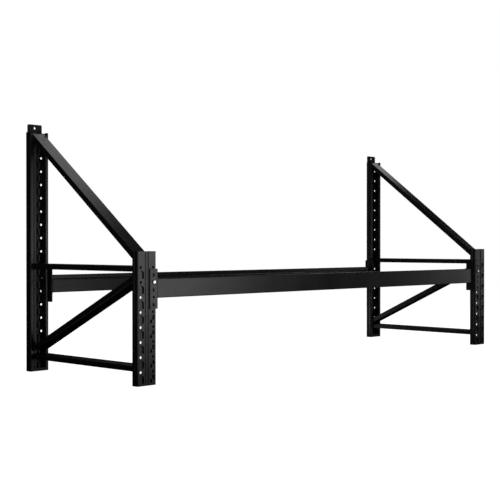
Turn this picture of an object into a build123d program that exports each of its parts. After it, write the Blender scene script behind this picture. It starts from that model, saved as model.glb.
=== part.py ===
from build123d import *
from math import atan2, cos, degrees
import os

# Tyre storage rack: two welded end frames joined by two step beams that hook into slots in the posts.
# Origin: middle of the footprint, on the floor. +X along the beams, +Y towards the wall, +Z up. Millimetres.

# Overall sizes
LENGTH = 2140.0            # outer face to outer face of the end frames
DEPTH = 642.0              # front web face to rear web face
FRONT_HEIGHT = 450.0
REAR_HEIGHT = 890.0

# Posts: lipped channel, web outwards, with one pressed groove in the web and one in each flange
POST_WIDTH = 81.0
POST_DEPTH = 30.0
POST_SHEET = 2.0
LIP = 12.5
POST_BEND = 3.5            # outside bend radius
WEB_GROOVE_HALF = 9.0      # half the groove's width at the surface
WEB_GROOVE_FLOOR = 3.0     # half the width of its floor
WEB_GROOVE_DEPTH = 1.2
FLANGE_GROOVE_AT = 14.8    # from the web face
FLANGE_GROOVE_HALF = 6.0
FLANGE_GROOVE_FLOOR = 1.3
FLANGE_GROOVE_DEPTH = 2.0
INNER_GROOVE_BEND = 2.6    # groove bend whose inside is the sheet's inner face
OUTER_GROOVE_BEND = 1.0

# Hole columns and pressed hook slots
PITCH = 50.0
HOLE_EDGE = 13.5           # hole centre from the post's edge
HOLE_RADIUS = 4.5
FIRST_HOLE = 46.2          # height of the lowest hole
FIRST_SLOT = FIRST_HOLE - PITCH / 2
FRONT_ROWS = 8
REAR_ROWS = 17
SLOT_INNER = 27.5          # inner side of a slot, from the post's edge
SLOT_STEP = 18.0           # outer side of its narrow lower part
SLOT_OUTER = 8.0           # outer side of its wide upper part
SLOT_TOP = 14.0            # heights are from the slot's middle
SLOT_LEDGE = -1.0          # the edge that a hook rests on
SLOT_BOTTOM = -13.5
SLOT_CORNER = 2.0
POCKET_DEPTH = 5.0         # web face to pocket floor
POCKET_SHEET = 2.0

# Braces: channels that sit between the lips, web upwards
BRACE_WIDTH = POST_WIDTH - 2 * LIP
BRACE_THICK = 20.0
BRACE_SHEET = 2.0
BRACE_BEND = 2.5
BRACE_INSERT = 8.0         # how far each end goes in past the lips
LOWER_TOP = 66.5
UPPER_TOP = 401.0
SLOPE_FRONT_TOP = 440.0    # top face where it meets the front lips
SLOPE_REAR_TOP = 879.0
DIAGONAL_FRONT_TOP = 373.7
DIAGONAL_REAR_TOP = 97.1

# Beams and their connectors
BEAM_HEIGHT = 66.0
BEAM_DEPTH = 36.0
BEAM_STEP = 17.0           # how far the ledge lies below the beam's top
BEAM_LEDGE = 16.0          # width of the ledge, on the side towards the rack's middle
BEAM_WALL = 2.0
BEAM_CORNER = 3.0
BEAM_MIDDLE = 324.5
BEAM_SETBACK = 9.0         # beam face behind the post's web face
CONNECTOR_SHEET = 4.0
CONNECTOR_GAP = 2.0        # between the side leg and the post's flange
CONNECTOR_ABOVE = 69.5     # from the middle hook's slot
CONNECTOR_BELOW = 65.0
CONNECTOR_BEND = 4.5
CONNECTOR_CORNER = 4.0
OUTER_LEG_FROM = 51.5      # edge of the outer leg, from the post's outer edge
SIDE_LEG = 46.0            # side leg behind the web face
HOOK_SLOTS = (5, 6, 7)     # slots that the hooks sit in, counted from the lowest
HOOK_NEAR = 11.0           # hook's sides, from the post's inner edge
HOOK_FAR = 18.0
HOOK_DROP = 6.0            # how far the tip reaches below the ledge
HOOK_SHEET = 2.8
WINDOW_MARGIN = 0.5

# Lock pins
PIN_ROW = 6                # hole that the pin passes through, counted from the lowest
PIN_RADIUS = 4.0
PIN_HEAD_RADIUS = 6.5
PIN_HEAD = 5.0
PIN_REACH = 8.0            # past the back of the web
PIN_TIP = 1.2

# Wall tabs
TAB_WIDTH = 63.0
TAB_SHEET = 3.0
TAB_ABOVE = 31.0
TAB_BELOW = 42.0
TAB_HOLE_ABOVE = 17.5
TAB_HOLE_RADIUS = 4.5
TAB_CORNER = 5.0

# Foot caps
FOOT_PLATE = 3.0
FOOT_PLUG = 8.0
FOOT_PLUG_WALL = 2.5
FOOT_PLUG_BACK = 8.5       # plug starts this far behind the web face, clear of the pockets

# Worked out from the above
POST_X = LENGTH / 2 - POST_WIDTH / 2
LIP_Y = DEPTH / 2 - POST_DEPTH
BRACE_END = LIP_Y + BRACE_INSERT
SIDES = {"left": -1, "right": 1}
ENDS = {"front": -1, "rear": 1}


def mirrored(points):
    """A chain of points on the left, continued by its mirror image on the right."""
    return points + [(-x, y) for x, y in reversed(points)]


def post_section():
    """Channel section: web along y = 0, lips at y = POST_DEPTH, open side towards +y."""
    half = POST_WIDTH / 2
    groove_x = -half + FLANGE_GROOVE_DEPTH
    left = [
        (-half + LIP, POST_DEPTH),
        (-half, POST_DEPTH),
        (-half, FLANGE_GROOVE_AT + FLANGE_GROOVE_HALF),
        (groove_x, FLANGE_GROOVE_AT + FLANGE_GROOVE_FLOOR),
        (groove_x, FLANGE_GROOVE_AT - FLANGE_GROOVE_FLOOR),
        (-half, FLANGE_GROOVE_AT - FLANGE_GROOVE_HALF),
        (-half, 0),
        (-WEB_GROOVE_HALF, 0),
        (-WEB_GROOVE_FLOOR, WEB_GROOVE_DEPTH),
    ]
    bends = [POST_BEND, INNER_GROOVE_BEND, OUTER_GROOVE_BEND, OUTER_GROOVE_BEND, INNER_GROOVE_BEND]
    bends += [POST_BEND, INNER_GROOVE_BEND, OUTER_GROOVE_BEND]
    outside = FilletPolyline(*mirrored(left), radius=bends + bends[::-1])
    return make_face(offset(outside, amount=POST_SHEET, side=Side.LEFT))


def slot_outline():
    """Hook slot of the left column: x from the post's middle, y up from the slot's middle."""
    half = POST_WIDTH / 2
    inner = SLOT_INNER - half
    step = SLOT_STEP - half
    outer = SLOT_OUTER - half
    width = inner - step
    corners = [
        (inner, SLOT_BOTTOM),
        (inner, SLOT_TOP - width / 2),
        (inner - width, SLOT_TOP),
        (outer + width / 3, SLOT_TOP),
        (outer, SLOT_TOP - width / 3),
        (outer, SLOT_LEDGE),
        (step, SLOT_LEDGE),
        (step, SLOT_BOTTOM),
    ]
    face = make_face(Polyline(*corners, close=True))
    bottom = face.vertices().sort_by(Axis.Y)[:2]
    face = fillet(bottom, width / 2 - 0.05)
    rest = [v for v in face.vertices() if v.Y > SLOT_LEDGE - 0.5]
    return fillet(rest, SLOT_CORNER)


def through_web(face, start, end):
    """The face, drawn as width and height, pushed from depth start to depth end behind the web face."""
    upright = Plane.XZ * face
    return Pos(0, start, 0) * extrude(upright, amount=end - start, dir=(0, 1, 0))


def slot_pocket(outline):
    """Walls and floor of one pressed pocket, open below its ledge so that a hook can drop in."""
    grown = offset(outline, amount=POCKET_SHEET)
    shell = through_web(grown, POST_SHEET / 2, POCKET_DEPTH + POCKET_SHEET)
    shell -= through_web(outline, 0, POCKET_DEPTH)
    half = POST_WIDTH / 2
    mouth_width = SLOT_STEP - SLOT_OUTER + POCKET_SHEET + 1
    mouth_height = SLOT_LEDGE - SLOT_BOTTOM - SLOT_CORNER * 2
    mouth = Box(mouth_width, POCKET_DEPTH - POST_SHEET, mouth_height, align=(Align.MAX, Align.MIN, Align.MAX))
    return shell - Pos(SLOT_STEP - half, POST_SHEET, SLOT_LEDGE) * mouth


def post(height, rows):
    """One post, standing on its foot cap, web face at y = 0 and open side towards +y."""
    body = Pos(0, 0, FOOT_PLATE) * extrude(post_section(), amount=height - FOOT_PLATE)
    outline = slot_outline()
    opening = through_web(outline, -1, POCKET_DEPTH)
    pocket = slot_pocket(outline)
    hole = Cylinder(HOLE_RADIUS, POCKET_DEPTH * 2, rotation=(90, 0, 0))
    holes = []
    openings = []
    pockets = []
    for row in range(rows):
        slot_z = FIRST_SLOT + row * PITCH
        openings += [Pos(0, 0, slot_z) * opening, Pos(0, 0, slot_z) * mirror(opening, about=Plane.YZ)]
        pockets += [Pos(0, 0, slot_z) * pocket, Pos(0, 0, slot_z) * mirror(pocket, about=Plane.YZ)]
        for x in (HOLE_EDGE - POST_WIDTH / 2, POST_WIDTH / 2 - HOLE_EDGE):
            holes.append(Pos(x, 0, FIRST_HOLE + row * PITCH) * hole)
    return body.cut(*openings, *holes).fuse(*pockets)


def place(shape, side, end):
    """A part made for the front of a post at the middle, moved to its own post: web faces outwards."""
    shape = Pos(0, -DEPTH / 2, 0) * shape
    if end == "rear":
        shape = mirror(shape, about=Plane.XZ)
    if side == "right":
        shape = mirror(shape, about=Plane.YZ)
    return Pos(SIDES[side] * POST_X, 0, 0) * shape


def brace(front_top, rear_top):
    """Channel between the lips of a front and a rear post, given the heights of its top face there."""
    rise = (rear_top - front_top) / (2 * LIP_Y)
    middle = (front_top + rear_top) / 2
    lean = cos(atan2(rise, 1))

    def slab(drop, depth, width):
        """Upright strip that follows the brace, from drop below the top face to depth below it."""
        ends = (-BRACE_END, BRACE_END)
        top = [(y, middle + rise * y - drop / lean) for y in ends]
        bottom = [(y, middle + rise * y - depth / lean) for y in reversed(ends)]
        face = Plane.YZ * make_face(Polyline(*top, *bottom, close=True))
        return extrude(face, amount=width / 2, both=True)

    outside = slab(0, BRACE_THICK, BRACE_WIDTH)
    top_face = outside.faces().sort_by(lambda f: f.normal_at().Z)[-1]
    long_edges = top_face.edges().filter_by(lambda e: abs(e.center().Y) < 1)
    outside = fillet(long_edges, BRACE_BEND)
    return outside - slab(BRACE_SHEET, BRACE_THICK * 2, BRACE_WIDTH - 2 * BRACE_SHEET)


def beam_halves():
    """The hollow front beam's two profiles: a full-height outer half, and an inner half with the ledge."""
    length = LENGTH - 2 * (POST_WIDTH + CONNECTOR_GAP + CONNECTOR_SHEET)
    front = -DEPTH / 2 + BEAM_SETBACK
    back = front + BEAM_DEPTH
    riser = back - BEAM_LEDGE
    bottom = BEAM_MIDDLE - BEAM_HEIGHT / 2
    top = BEAM_MIDDLE + BEAM_HEIGHT / 2
    corners = [
        (front, bottom),
        (front, top),
        (riser, top),
        (riser, top - BEAM_STEP),
        (back, top - BEAM_STEP),
        (back, bottom),
    ]
    sharp = make_face(Polyline(*corners, close=True))
    outline = fillet(sharp.vertices(), BEAM_CORNER)
    section = outline - offset(outline, amount=-BEAM_WALL)
    inner_side = Rectangle(BEAM_DEPTH, BEAM_HEIGHT * 2, align=(Align.MIN, Align.CENTER))
    inner_side = Pos(riser, BEAM_MIDDLE) * inner_side
    halves = (section - inner_side, section & inner_side)
    return [extrude(Plane.YZ * half, amount=length / 2, both=True) for half in halves]


def hook():
    """Tongue pressed in from the outer leg, its tip hanging behind the web below the slot's ledge."""
    tip = SLOT_LEDGE - HOOK_DROP
    back = POST_SHEET + HOOK_SHEET
    root = SLOT_LEDGE + 5
    side = [
        (-CONNECTOR_SHEET + 1, root),
        (0, root + 3),
        (back, root - 2),
        (back, tip),
        (POST_SHEET, tip),
        (POST_SHEET, SLOT_LEDGE),
    ]
    face = Plane.YZ * make_face(Polyline(*side, close=True))
    tongue = extrude(face, amount=HOOK_FAR - HOOK_NEAR, dir=(-1, 0, 0))
    return Pos(POST_WIDTH / 2 - HOOK_NEAR, 0, 0) * tongue


def connector():
    """Angle plate of a left post: outer leg on the web, side leg beside the inner flange, three hooks."""
    inner = POST_WIDTH / 2
    bottom = FIRST_SLOT + HOOK_SLOTS[1] * PITCH - CONNECTOR_BELOW
    height = CONNECTOR_ABOVE + CONNECTOR_BELOW
    side_x = inner + CONNECTOR_GAP + CONNECTOR_SHEET
    angle = [
        (OUTER_LEG_FROM - inner, -CONNECTOR_SHEET),
        (side_x, -CONNECTOR_SHEET),
        (side_x, SIDE_LEG),
    ]
    outside = FilletPolyline(*angle, radius=CONNECTOR_BEND)
    plate = extrude(make_face(offset(outside, amount=CONNECTOR_SHEET, side=Side.LEFT)), amount=height)
    free_ends = plate.faces().filter_by(lambda f: abs(f.area - CONNECTOR_SHEET * height) < 1)
    corners = [e for f in free_ends for e in f.edges() if abs(e.length - CONNECTOR_SHEET) < 0.01]
    plate = Pos(0, 0, bottom) * fillet(corners, CONNECTOR_CORNER)

    window_width = HOOK_FAR - HOOK_NEAR + 2 * WINDOW_MARGIN
    window_height = HOOK_DROP + 5
    window_align = (Align.CENTER, Align.CENTER, Align.MIN)
    window = Box(window_width, CONNECTOR_SHEET * 3, window_height, align=window_align)
    hook_x = inner - (HOOK_NEAR + HOOK_FAR) / 2
    hole = Cylinder(HOLE_RADIUS, CONNECTOR_SHEET * 3, rotation=(90, 0, 0))
    for slot in HOOK_SLOTS:
        slot_z = FIRST_SLOT + slot * PITCH
        plate -= Pos(hook_x, -CONNECTOR_SHEET / 2, slot_z + SLOT_LEDGE - HOOK_DROP) * window
    for row in (PIN_ROW - 1, PIN_ROW):
        plate -= Pos(inner - HOLE_EDGE, -CONNECTOR_SHEET / 2, FIRST_HOLE + row * PITCH) * hole
    for slot in HOOK_SLOTS:
        plate += Pos(0, 0, FIRST_SLOT + slot * PITCH) * hook()
    return plate


def lock_pin():
    """Headed pin through the connector and the post of a left post, axis along y."""
    length = CONNECTOR_SHEET + POST_SHEET + PIN_REACH
    from_end = (Align.CENTER, Align.CENTER, Align.MIN)
    shank = Cylinder(PIN_RADIUS, length, rotation=(-90, 0, 0), align=from_end)
    shank = chamfer(shank.edges().sort_by(Axis.Y)[-1], PIN_TIP)
    head = Cylinder(PIN_HEAD_RADIUS, PIN_HEAD, rotation=(90, 0, 0), align=from_end)
    head = fillet(head.edges().sort_by(Axis.Y)[0], PIN_HEAD * 0.4)
    pin_z = FIRST_HOLE + PIN_ROW * PITCH
    return Pos(POST_WIDTH / 2 - HOLE_EDGE, -CONNECTOR_SHEET, pin_z) * (shank + head)


def wall_tab():
    """Flat tab welded on the outer face of a rear post's web, with a screw hole above the post."""
    height = TAB_ABOVE + TAB_BELOW
    plate = RectangleRounded(TAB_WIDTH, height, TAB_CORNER)
    hole_y = TAB_HOLE_ABOVE - (TAB_ABOVE - TAB_BELOW) / 2
    plate -= Pos(0, hole_y) * Circle(TAB_HOLE_RADIUS)
    middle_z = REAR_HEIGHT + (TAB_ABOVE - TAB_BELOW) / 2
    return Pos(0, 0, middle_z) * through_web(plate, -TAB_SHEET, 0)


def foot_cap():
    """Plastic cap: a plate of the post's outline with a hollow plug that stands inside the channel."""
    plate = Pos(0, POST_DEPTH / 2) * RectangleRounded(POST_WIDTH, POST_DEPTH, POST_BEND)
    cap = extrude(plate, amount=FOOT_PLATE)
    plug_width = POST_WIDTH - 2 * (POST_SHEET + FLANGE_GROOVE_DEPTH)
    plug_depth = POST_DEPTH - POST_SHEET - FOOT_PLUG_BACK
    plug = Rectangle(plug_width, plug_depth)
    plug -= Rectangle(plug_width - 2 * FOOT_PLUG_WALL, plug_depth - 2 * FOOT_PLUG_WALL)
    middle_y = FOOT_PLUG_BACK + plug_depth / 2
    return cap + Pos(0, middle_y, 0) * extrude(plug, amount=FOOT_PLATE + FOOT_PLUG)


def build():
    """Every node of the rack, by name."""
    nodes = {}
    posts = {"front": post(FRONT_HEIGHT, FRONT_ROWS), "rear": post(REAR_HEIGHT, REAR_ROWS)}
    braces = {
        "slope_brace": brace(SLOPE_FRONT_TOP, SLOPE_REAR_TOP),
        "upper_brace": brace(UPPER_TOP, UPPER_TOP),
        "diagonal_brace": brace(DIAGONAL_FRONT_TOP, DIAGONAL_REAR_TOP),
        "lower_brace": brace(LOWER_TOP, LOWER_TOP),
    }
    plate = connector()
    pin = lock_pin()
    tab = wall_tab()
    cap = foot_cap()
    for name, half in zip(("beam", "beam_ledge"), beam_halves()):
        nodes[f"front_{name}"] = half
        nodes[f"rear_{name}"] = mirror(half, about=Plane.XZ)
    for side in SIDES:
        for name, shape in braces.items():
            nodes[f"{side}_{name}"] = Pos(SIDES[side] * POST_X, 0, 0) * shape
        for end in ENDS:
            nodes[f"{side}_{end}_post"] = place(posts[end], side, end)
            nodes[f"{side}_{end}_foot_cap"] = place(cap, side, end)
            nodes[f"{end}_beam_{side}_connector"] = place(plate, side, end)
            nodes[f"{side}_{end}_lock_pin"] = place(pin, side, end)
        nodes[f"{side}_wall_tab"] = place(tab, side, "rear")
    return nodes


os.makedirs("parts", exist_ok=True)
for name, shape in build().items():
    export_step(shape, f"parts/{name}.step")
slope = degrees(atan2(SLOPE_REAR_TOP - SLOPE_FRONT_TOP, 2 * LIP_Y))
print(f"slope brace at {slope:.1f} degrees")
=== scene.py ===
from math import cos, pi, radians, sin

import bmesh
import bpy
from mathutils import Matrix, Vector


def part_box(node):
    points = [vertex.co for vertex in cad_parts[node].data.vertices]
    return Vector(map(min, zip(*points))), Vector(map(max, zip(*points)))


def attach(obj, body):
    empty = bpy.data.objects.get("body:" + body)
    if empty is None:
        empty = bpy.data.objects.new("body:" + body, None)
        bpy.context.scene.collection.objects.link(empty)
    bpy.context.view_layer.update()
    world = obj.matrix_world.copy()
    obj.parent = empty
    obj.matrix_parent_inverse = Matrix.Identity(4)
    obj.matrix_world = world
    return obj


# Tyre storage rack: the CAD frame in satin black powder coat, zinc lock pins, moulded foot caps and
# painted welds.
# Metres throughout, in the CAD model's own frame: +X along the beams, +Y towards the wall, +Z up.

SIDES = {"left": -1, "right": 1}
ENDS = {"front": -1, "rear": 1}

# Camera
CAMERA_PLACE = (-3.3918, -3.0730, 0.4754)
CAMERA_TILT = -0.34        # degrees from level
CAMERA_TURN = -46.09       # degrees about Z from looking along +Y
CAMERA_LENS = 77.83        # mm on a 36 mm sensor

# Lights: name, place, target, width and height, power in watts
LIGHTS = [
    ("front", (0.10, -1.80, 0.38), (-1.00, -0.20, 0.40), (0.95, 0.72), 5.7),
    ("front_right", (2.20, -1.00, 0.45), (1.00, -0.20, 0.40), (0.50, 0.80), 1.2),
    ("overhead_left", (-0.45, 0.58, 1.55), (-1.03, 0.10, 0.75), (0.70, 0.80), 1.9),
    ("overhead_right", (1.55, 0.66, 1.50), (1.03, 0.15, 0.75), (0.85, 1.00), 3.4),
    ("left_fill", (-3.60, -0.90, 0.70), (-1.00, 0.00, 0.40), (1.0, 1.2), 2.0),
    ("right_fill", (3.60, 0.58, 1.05), (0.80, 0.00, 0.40), (1.2, 0.9), 4),
    ("rear_fill", (-0.60, 2.60, 2.60), (0.00, 0.20, 0.40), (2.4, 1.2), 6),
    ("floor_bounce", (0.30, 0.10, 0.005), (0.30, 0.10, 1.00), (2.4, 0.6), 0.6),
    ("floor_rear_right", (2.40, 1.90, 0.005), (2.40, 1.90, 1.00), (4.4, 2.8), 48),
    ("floor_front_left", (-2.80, -2.30, 0.005), (-2.80, -2.30, 1.00), (3.4, 3.4), 36),
]

# Welds
BEAD_RADIUS = 0.0021
BEAD_SINK = 0.35           # share of the radius that the bead's line lies outside the corner
RIPPLE_PITCH = 0.0016
RIPPLE_DEPTH = 0.12        # share of the bead's radius
BEAD_STEPS = 4             # rings along one ripple
BEAD_SIDES = 12
LEDGE_LIP = 0.003          # the curled-up edge of a beam's ledge, where it meets the riser
BEAM_CORNER = 0.003        # outside radius of a beam's corners
CORNER_STEPS = 6

# Studio
FLOOR_HALF = 20.0
ROOM_GREY = 0.012          # how light the surroundings look to the rack

# Where a noise node's values mostly lie
NOISE_LOW = 0.3
NOISE_HIGH = 0.7

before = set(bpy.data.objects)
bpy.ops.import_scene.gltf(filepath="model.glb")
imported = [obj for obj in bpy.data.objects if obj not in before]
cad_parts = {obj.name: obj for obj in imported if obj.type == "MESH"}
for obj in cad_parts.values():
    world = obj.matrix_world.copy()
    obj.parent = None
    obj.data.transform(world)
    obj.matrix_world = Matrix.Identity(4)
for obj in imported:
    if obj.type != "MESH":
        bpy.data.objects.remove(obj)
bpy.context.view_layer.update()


# ---------------------------------------------------------------- materials

class Shader:
    """A new material's node tree, with short calls that add nodes and join them."""

    def __init__(self, name):
        self.material = bpy.data.materials.new(name)
        self.material.use_nodes = True
        self.tree = self.material.node_tree
        self.tree.nodes.clear()
        self.out = self.add("ShaderNodeOutputMaterial")
        self.surface = self.add("ShaderNodeBsdfPrincipled")
        self.join(self.surface, "BSDF", self.out, "Surface")
        self.place = self.add("ShaderNodeTexCoord")

    def add(self, kind, **values):
        """A node of that kind. Values that name a socket are set on it, and others on the node."""
        node = self.tree.nodes.new(kind)
        for name, value in values.items():
            socket = node.inputs.get(name.replace("_", " "))
            if socket is None:
                setattr(node, name, value)
            else:
                socket.default_value = value
        return node

    def join(self, a, out, b, into):
        self.tree.links.new(a.outputs[out], b.inputs[into])

    def noise(self, scale, detail):
        """Noise in the object's own coordinates, with that many features in a metre."""
        node = self.add("ShaderNodeTexNoise", Scale=scale, Detail=detail, Roughness=0.5)
        self.join(self.place, "Object", node, "Vector")
        return node

    def spread(self, node, out, low, high):
        """A noise node's value, stretched from its usual range to low..high."""
        ranged = self.add("ShaderNodeMapRange")
        ranged.inputs["From Min"].default_value = NOISE_LOW
        ranged.inputs["From Max"].default_value = NOISE_HIGH
        ranged.inputs["To Min"].default_value = low
        ranged.inputs["To Max"].default_value = high
        self.join(node, out, ranged, "Value")
        return ranged

    def colours(self, node, out, low, high):
        """A colour that runs from low to high as a noise node's value rises."""
        ramp = self.add("ShaderNodeValToRGB")
        ramp.color_ramp.elements[0].position = NOISE_LOW
        ramp.color_ramp.elements[1].position = NOISE_HIGH
        ramp.color_ramp.elements[0].color = (*low, 1)
        ramp.color_ramp.elements[1].color = (*high, 1)
        self.join(node, out, ramp, "Fac")
        return ramp

    def bump(self, height, out, depth, strength, over=None):
        """A bump of that depth in metres, laid over another normal if one is given."""
        node = self.add("ShaderNodeBump", Strength=strength, Distance=depth)
        self.join(height, out, node, "Height")
        if over is not None:
            self.join(over, "Normal", node, "Normal")
        return node


def powder_coat():
    """Satin black powder coat: faint orange peel, mottled gloss, and edges rounded by the film."""
    shader = Shader("powder_coat")
    mottle = shader.noise(9.0, detail=4.0)
    peel = shader.noise(420.0, detail=2.0)
    tone = shader.colours(mottle, "Fac", (0.0075, 0.0075, 0.008), (0.0115, 0.0115, 0.012))
    gloss = shader.spread(mottle, "Fac", 0.33, 0.39)
    rounded = shader.add("ShaderNodeBevel", samples=4, Radius=0.0006)
    relief = shader.bump(peel, "Fac", 0.00006, strength=0.25, over=rounded)
    shader.join(tone, "Color", shader.surface, "Base Color")
    shader.join(gloss, "Result", shader.surface, "Roughness")
    shader.join(relief, "Normal", shader.surface, "Normal")
    return shader.material


def zinc():
    """Bright zinc plating with fine turning marks."""
    shader = Shader("zinc_plate")
    cloud = shader.noise(220.0, detail=3.0)
    tone = shader.colours(cloud, "Fac", (0.70, 0.71, 0.73), (0.84, 0.85, 0.86))
    gloss = shader.spread(cloud, "Fac", 0.24, 0.36)
    marks = shader.noise(2600.0, detail=1.0)
    relief = shader.bump(marks, "Fac", 0.00002, strength=0.4)
    shader.surface.inputs["Metallic"].default_value = 1.0
    shader.join(tone, "Color", shader.surface, "Base Color")
    shader.join(gloss, "Result", shader.surface, "Roughness")
    shader.join(relief, "Normal", shader.surface, "Normal")
    return shader.material


def foot_plastic():
    """Black moulded plastic with a fine spark-eroded grain."""
    shader = Shader("foot_plastic")
    cloud = shader.noise(60.0, detail=3.0)
    grain = shader.noise(1800.0, detail=2.0)
    tone = shader.colours(cloud, "Fac", (0.011, 0.011, 0.011), (0.017, 0.017, 0.017))
    gloss = shader.spread(grain, "Fac", 0.52, 0.66)
    relief = shader.bump(grain, "Fac", 0.00005, strength=0.5)
    shader.join(tone, "Color", shader.surface, "Base Color")
    shader.join(gloss, "Result", shader.surface, "Roughness")
    shader.join(relief, "Normal", shader.surface, "Normal")
    return shader.material


def pale_floor():
    """White studio floor that stays light under the rack."""
    shader = Shader("pale_floor")
    cloud = shader.noise(0.8, detail=2.0)
    tone = shader.colours(cloud, "Fac", (0.86, 0.86, 0.86), (0.90, 0.90, 0.90))
    shader.join(tone, "Color", shader.surface, "Base Color")
    shader.surface.inputs["Roughness"].default_value = 0.9
    shader.surface.inputs["Emission Color"].default_value = (1, 1, 1, 1)
    shader.surface.inputs["Emission Strength"].default_value = 1.0
    return shader.material


FINISHES = {"powder_coat": powder_coat(), "zinc": zinc(), "foot_plastic": foot_plastic()}


def finish_nodes():
    """Every CAD node gets the material of its own slot."""
    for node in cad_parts.values():
        for place in node.material_slots:
            place.material = FINISHES[place.material.name.split(".")[0]]


# ---------------------------------------------------------------- welds

def bead(mesh, line, closed=False):
    """Adds a rippled weld bead along a line of points, its ends rounded off unless it is closed."""
    runs = list(zip(line, line[1:] + line[:1])) if closed else list(zip(line, line[1:]))
    length = sum((b - a).length for a, b in runs)
    count = max(8, round(length / RIPPLE_PITCH) * BEAD_STEPS)
    places = []
    travelled = 0.0
    for a, b in runs:
        run = (b - a).length
        start, end = travelled, travelled + run
        for step in range(count + 1):
            at = length * step / count
            if start <= at < end or (not closed and step == count and b is runs[-1][1]):
                places.append((at, a.lerp(b, min(1.0, (at - start) / run)), (b - a).normalized()))
        travelled = end
    rings = []
    for at, point, along in places:
        side = along.orthogonal().normalized()
        up = along.cross(side)
        wave = 1 - RIPPLE_DEPTH * abs(sin(pi * at / RIPPLE_PITCH))
        taper = 1.0
        if not closed:
            near_end = min(at, length - at) / BEAD_RADIUS
            taper = max(0.12, min(1.0, near_end) ** 0.5)
        radius = BEAD_RADIUS * wave * taper
        ring = []
        for step in range(BEAD_SIDES):
            angle = 2 * pi * step / BEAD_SIDES
            ring.append(mesh.verts.new(point + radius * (cos(angle) * side + sin(angle) * up)))
        rings.append(ring)
    pairs = list(zip(rings, rings[1:] + rings[:1])) if closed else list(zip(rings, rings[1:]))
    for low, high in pairs:
        for step in range(BEAD_SIDES):
            following = (step + 1) % BEAD_SIDES
            mesh.faces.new((low[step], low[following], high[following], high[step]))
    if not closed:
        mesh.faces.new(rings[0][::-1])
        mesh.faces.new(rings[-1])


def weld_object(name, lines, closed=False):
    """One painted weld piece that rides on the frame."""
    mesh = bmesh.new()
    for line in lines:
        bead(mesh, line, closed)
    bmesh.ops.recalc_face_normals(mesh, faces=mesh.faces)
    data = bpy.data.meshes.new(name)
    mesh.to_mesh(data)
    mesh.free()
    for face in data.polygons:
        face.use_smooth = True
    piece = bpy.data.objects.new(name, data)
    bpy.context.scene.collection.objects.link(piece)
    data.materials.append(FINISHES["powder_coat"])
    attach(piece, "frame")


def brace_welds(side):
    """Upright beads where each brace passes between the lips of its two posts."""
    sink = BEAD_RADIUS * BEAD_SINK
    lines = []
    for name in ("slope_brace", "upper_brace", "diagonal_brace", "lower_brace"):
        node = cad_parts[f"{side}_{name}"]
        low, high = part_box(node.name)
        bottoms, tops = {}, {}
        for end, sign in ENDS.items():
            heights = [v.co.z for v in node.data.vertices if v.co.y * sign > 0]
            bottoms[end], tops[end] = min(heights), max(heights)
        for end, sign in ENDS.items():
            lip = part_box(f"{side}_{end}_post")[0 if sign > 0 else 1].y
            # the brace ends past the lips, so its height at the lip lies between those of its two ends
            share = (lip - low.y) / (high.y - low.y)
            bottom = bottoms["front"] + share * (bottoms["rear"] - bottoms["front"]) + BEAD_RADIUS
            top = tops["front"] + share * (tops["rear"] - tops["front"]) - BEAD_RADIUS
            for x, out in ((low.x, -1), (high.x, 1)):
                foot = Vector((x + out * sink, lip - sign * sink, bottom))
                lines.append([foot, foot + Vector((0, 0, top - bottom))])
    weld_object(f"{side}_frame_welds", lines)


def rounded_loop(x, corners, radius):
    """Points in order along a closed outline across X, given its (y, z) corners and their radius."""
    points = []
    for before, corner, after in zip(corners[-1:] + corners[:-1], corners, corners[1:] + corners[:1]):
        here = Vector(corner)
        start = here + (Vector(before) - here).normalized() * radius
        end = here + (Vector(after) - here).normalized() * radius
        centre = start + end - here
        for step in range(CORNER_STEPS + 1):
            angle = step / CORNER_STEPS * pi / 2
            spoke = (start - centre) * cos(angle) + (end - centre) * sin(angle)
            points.append(Vector((x, *(centre + spoke))))
    return points


def beam_welds(end):
    """A bead all round each end of a step beam, against its connector's side leg."""
    low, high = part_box(f"{end}_beam")
    ledge_low, ledge_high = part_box(f"{end}_beam_ledge")
    sign = ENDS[end]
    grow = BEAD_RADIUS * BEAD_SINK
    outer = (high.y if sign > 0 else low.y) + sign * grow
    riser = (low.y if sign > 0 else high.y) - sign * grow
    inner = (ledge_low.y if sign > 0 else ledge_high.y) - sign * grow
    ledge = ledge_high.z - LEDGE_LIP + grow
    bottom, top = low.z - grow, high.z + grow
    corners = [
        (outer, bottom),
        (outer, top),
        (riser, top),
        (riser, ledge),
        (inner, ledge),
        (inner, bottom),
    ]
    for side, out in SIDES.items():
        x = (low.x if out < 0 else high.x) - out * grow
        loop = rounded_loop(x, corners, BEAM_CORNER + grow)
        weld_object(f"{end}_beam_{side}_weld", [loop], closed=True)


# ---------------------------------------------------------------- studio

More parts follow.
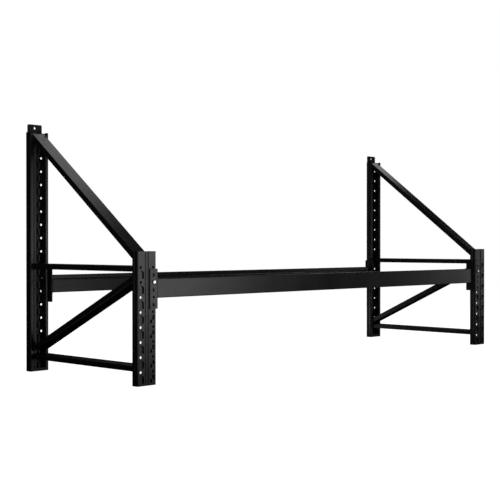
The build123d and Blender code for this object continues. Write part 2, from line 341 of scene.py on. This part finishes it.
def area_light(name, place, target, size, power):
    """A soft rectangular light that faces a target."""
    data = bpy.data.lights.new(name, "AREA")
    data.shape = "RECTANGLE"
    data.size, data.size_y = size
    data.energy = power
    light = bpy.data.objects.new(name, data)
    light.location = place
    light.visible_camera = False
    light.rotation_euler = (Vector(target) - Vector(place)).to_track_quat("-Z", "Y").to_euler()
    bpy.context.scene.collection.objects.link(light)


def studio():
    """Pale floor, white surroundings for the camera, dim ones for the rack, and soft lights."""
    mesh = bmesh.new()
    bmesh.ops.create_grid(mesh, x_segments=1, y_segments=1, size=FLOOR_HALF)
    data = bpy.data.meshes.new("floor")
    mesh.to_mesh(data)
    mesh.free()
    floor = bpy.data.objects.new("floor", data)
    data.materials.append(pale_floor())
    bpy.context.scene.collection.objects.link(floor)
    floor.visible_glossy = False
    floor.visible_diffuse = False

    world = bpy.data.worlds.new("studio")
    bpy.context.scene.world = world
    world.use_nodes = True
    tree = world.node_tree
    tree.nodes.clear()
    out = tree.nodes.new("ShaderNodeOutputWorld")
    mix = tree.nodes.new("ShaderNodeMixShader")
    dim = tree.nodes.new("ShaderNodeBackground")
    white = tree.nodes.new("ShaderNodeBackground")
    ray = tree.nodes.new("ShaderNodeLightPath")
    dim.inputs["Color"].default_value = (ROOM_GREY, ROOM_GREY, ROOM_GREY, 1)
    white.inputs["Color"].default_value = (1, 1, 1, 1)
    tree.links.new(ray.outputs["Is Camera Ray"], mix.inputs["Fac"])
    tree.links.new(dim.outputs[0], mix.inputs[1])
    tree.links.new(white.outputs[0], mix.inputs[2])
    tree.links.new(mix.outputs[0], out.inputs["Surface"])

    for name, place, target, size, power in LIGHTS:
        area_light(name, place, target, size, power)
    bpy.context.scene.view_settings.view_transform = "Standard"


def camera():
    """The camera, to the left of the rack's front and a little above its beams."""
    data = bpy.data.cameras.new("camera")
    data.lens = CAMERA_LENS
    data.sensor_width = 36.0
    view = bpy.data.objects.new("camera", data)
    view.location = CAMERA_PLACE
    view.rotation_euler = (radians(90 + CAMERA_TILT), 0, radians(CAMERA_TURN))
    bpy.context.scene.collection.objects.link(view)
    bpy.context.scene.camera = view


# ---------------------------------------------------------------- scene

finish_nodes()
for side in SIDES:
    brace_welds(side)
for end in ENDS:
    beam_welds(end)
studio()
camera()
